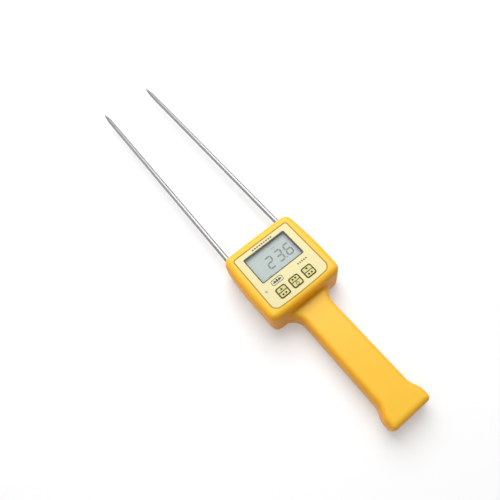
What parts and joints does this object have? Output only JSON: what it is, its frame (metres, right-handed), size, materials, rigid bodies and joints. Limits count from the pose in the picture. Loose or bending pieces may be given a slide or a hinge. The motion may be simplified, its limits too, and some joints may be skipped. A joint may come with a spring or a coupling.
{
  "type": "grain moisture meter",
  "caption": "Hand-held grain moisture meter: square head with display and keys, flared grip, and two long pointed steel probes that are pushed into grain.",
  "frame": {"origin": "on the back plane, midway between the grip's end and the probe points, on the middle plane", "axes": "+Z out of the face, +Y along the probes towards their points, +X to the right when the face is seen with the probes up"},
  "size_m": [0.0794, 0.46, 0.0342],
  "materials": {
    "yellow_abs": "satin moulded ABS with a faint texture",
    "label_film": "satin printed polyester film",
    "black_abs": "satin moulded ABS",
    "grey_abs": "matt moulded ABS",
    "clear_acrylic": "polished clear pane",
    "lcd_glass": "pale grey-green reflective display",
    "conductive_rubber": "striped elastomer",
    "board_laminate": "solder-masked glass-epoxy",
    "zinc_steel": "bright zinc plating",
    "key_film": "satin moulded key with printed outline",
    "black_nylon": "matt moulded nylon",
    "white_nylon": "matt moulded nylon",
    "lens_plastic": "translucent tinted plastic",
    "capacitor_sleeve": "shrink sleeve",
    "polished_steel": "ground and polished stainless steel",
    "brass": "machined",
    "tinned_copper": "nickel-plated sheet and wire",
    "red_wire": "PVC insulation",
    "black_wire": "PVC insulation",
    "cell_jacket": "plain printed jacket",
    "foam": "closed-cell foam strip"
  },
  "bodies": {
    "casing": {"front_shell": "yellow_abs", "rear_shell": "yellow_abs", "face_label": "label_film", "display_bezel": "black_abs", "display_window": "clear_acrylic", "lcd_panel": "lcd_glass", "lcd_holder": "grey_abs", "zebra_strips": "conductive_rubber", "circuit_board": "board_laminate", "board_screws": "zinc_steel", "case_screws": "zinc_steel", "key_switches": "black_nylon", "indicator_lens": "lens_plastic", "indicator_led": "lens_plastic", "microcontroller": "black_nylon", "quartz_crystal": "zinc_steel", "capacitors": "capacitor_sleeve", "wire_connectors": "white_nylon", "probe_left": "polished_steel", "probe_right": "polished_steel", "probe_bush_left": "white_nylon", "probe_bush_right": "white_nylon", "probe_nuts": "brass", "probe_lugs": "tinned_copper", "probe_wire_left": "red_wire", "probe_wire_right": "black_wire", "battery_holder": "black_abs", "cell_1": "cell_jacket", "cell_2": "cell_jacket", "cell_3": "cell_jacket", "cell_4": "cell_jacket", "contact_negative": "tinned_copper", "contact_positive": "tinned_copper", "contact_bridge": "tinned_copper", "contact_springs": "tinned_copper", "battery_wire_red": "red_wire", "battery_wire_black": "black_wire"},
    "up_key": {"key_up": "key_film", "plunger_up": "black_nylon"},
    "power_key": {"key_power": "key_film", "plunger_power": "black_nylon"},
    "down_key": {"key_down": "key_film", "plunger_down": "black_nylon"},
    "door": {"battery_door": "yellow_abs", "door_pad": "foam"}
  },
  "joints": [
    {"name": "up_key_press", "type": "slide", "parent": "casing", "child": "up_key", "axis": [0, 0, -1], "range_m": [0, 0.0005], "stiffness_N_per_m": 3000},
    {"name": "power_key_press", "type": "slide", "parent": "casing", "child": "power_key", "axis": [0, 0, -1], "range_m": [0, 0.0005], "stiffness_N_per_m": 3000},
    {"name": "down_key_press", "type": "slide", "parent": "casing", "child": "down_key", "axis": [0, 0, -1], "range_m": [0, 0.0005], "stiffness_N_per_m": 3000},
    {"name": "door_hinge", "type": "hinge", "parent": "casing", "child": "door", "pos_m": [0, -0.1178, 0.0008], "axis": [1, 0, 0], "range_deg": [0, 75]}
  ]
}
